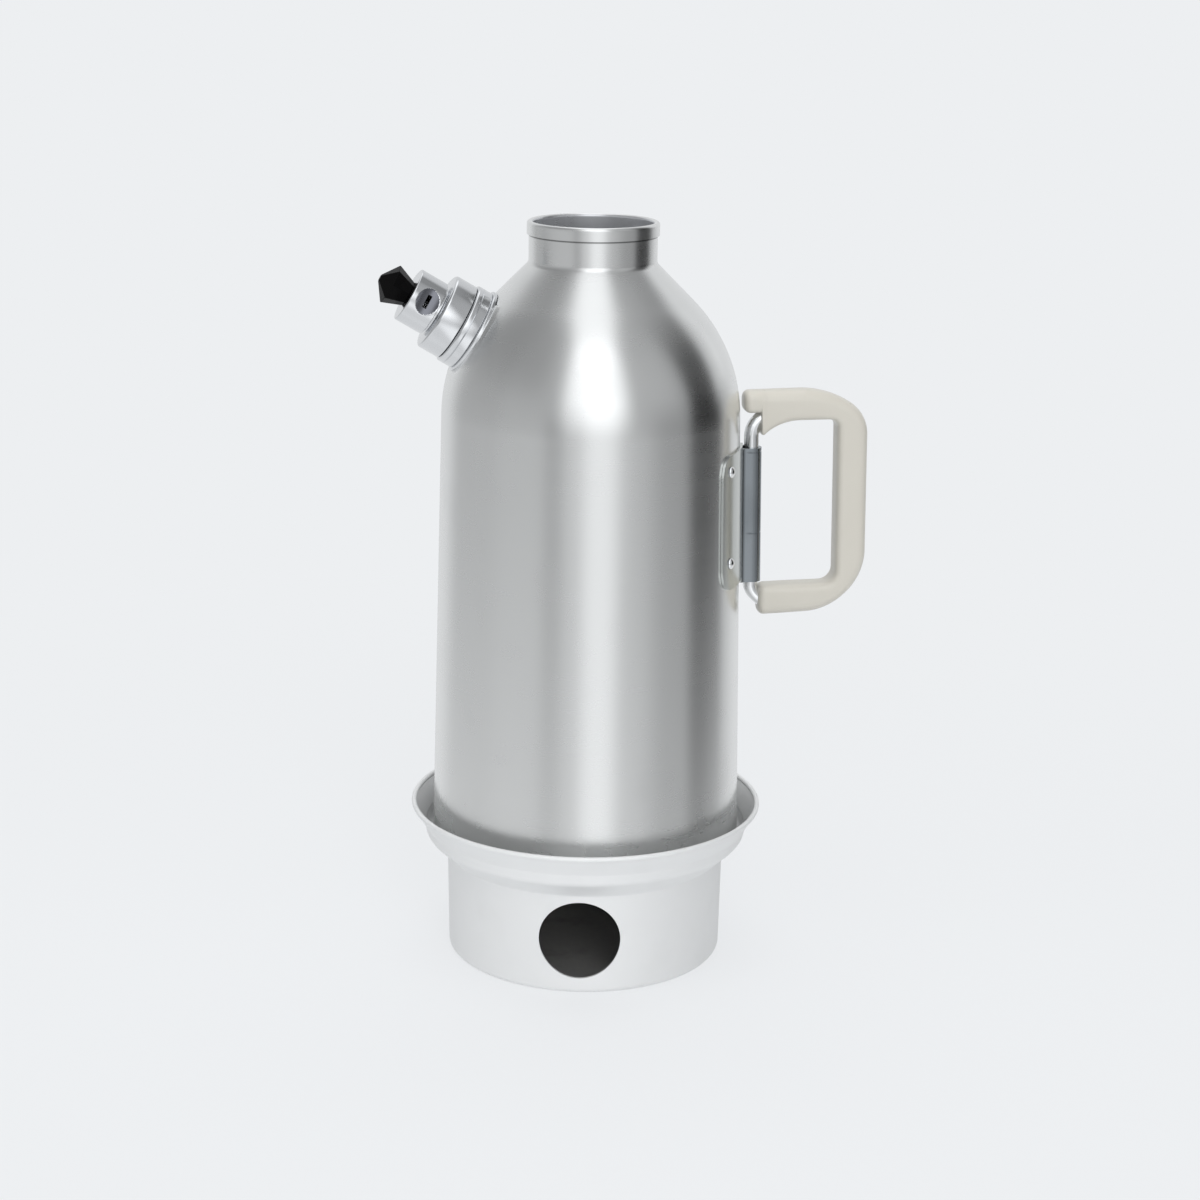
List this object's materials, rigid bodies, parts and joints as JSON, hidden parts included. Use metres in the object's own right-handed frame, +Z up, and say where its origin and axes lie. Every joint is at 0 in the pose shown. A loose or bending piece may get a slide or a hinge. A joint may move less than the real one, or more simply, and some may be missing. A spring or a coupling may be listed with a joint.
{
  "type": "camping samovar",
  "caption": "Double-walled aluminium camping samovar with a central flue, whistling screw cap, swinging side handle and a separate fire base.",
  "frame": {"origin": "middle of the underside of the fire base, on the surface it stands on", "axes": "+Z up along the bottle's axis, +X towards the handle, -X towards the spout, the air hole faces about -Y"},
  "size_m": [0.2297, 0.167, 0.35],
  "materials": {
    "matte_aluminium": "matte",
    "satin_aluminium": "satin, turned lengthwise bands",
    "polished_aluminium": "polished",
    "bright_steel": "polished",
    "cream_plastic": "semi-gloss",
    "black_plastic": "gloss",
    "seal_rubber": "matte"
  },
  "bodies": {
    "fire_base": {"fire_base": "matte_aluminium"},
    "kettle": {"outer_shell": "satin_aluminium", "flue_tube": "satin_aluminium", "jacket_floor": "satin_aluminium", "spout_ring": "polished_aluminium", "spout_neck": "polished_aluminium", "handle_bracket": "bright_steel", "bracket_rivets": "bright_steel", "rivet_washers": "bright_steel"},
    "handle": {"handle_rod": "bright_steel", "handle_grip": "cream_plastic"},
    "cap_seal": {"cap_gasket": "seal_rubber"},
    "cap": {"cap_shell": "polished_aluminium", "whistle_body": "polished_aluminium", "whistle_languet": "polished_aluminium", "cap_knob": "black_plastic", "knob_stud": "bright_steel"}
  },
  "joints": [
    {"name": "kettle_lift", "type": "slide", "parent": "fire_base", "child": "kettle", "axis": [0, 0, 1], "range_m": [0, 0.06]},
    {"name": "handle_swing", "type": "hinge", "parent": "kettle", "child": "handle", "pos_m": [0.07677, 0, 0.2122], "axis": [-0.0208, 0, 0.9998], "range_deg": [-85, 85]},
    {"name": "cap_travel", "type": "slide", "parent": "kettle", "child": "cap_seal", "axis": [-0.8616, 0, 0.5075], "range_m": [0, 0.0101]},
    {"name": "cap_unscrew", "type": "hinge", "parent": "cap_seal", "child": "cap", "pos_m": [-0.05416, 0, 0.29949], "axis": [-0.8616, 0, 0.5075], "range_deg": [0, 1440]}
  ],
  "couplings": [
    {"joint": "cap_travel", "follows": "cap_unscrew", "m_per_rad": 0.00039789}
  ]
}
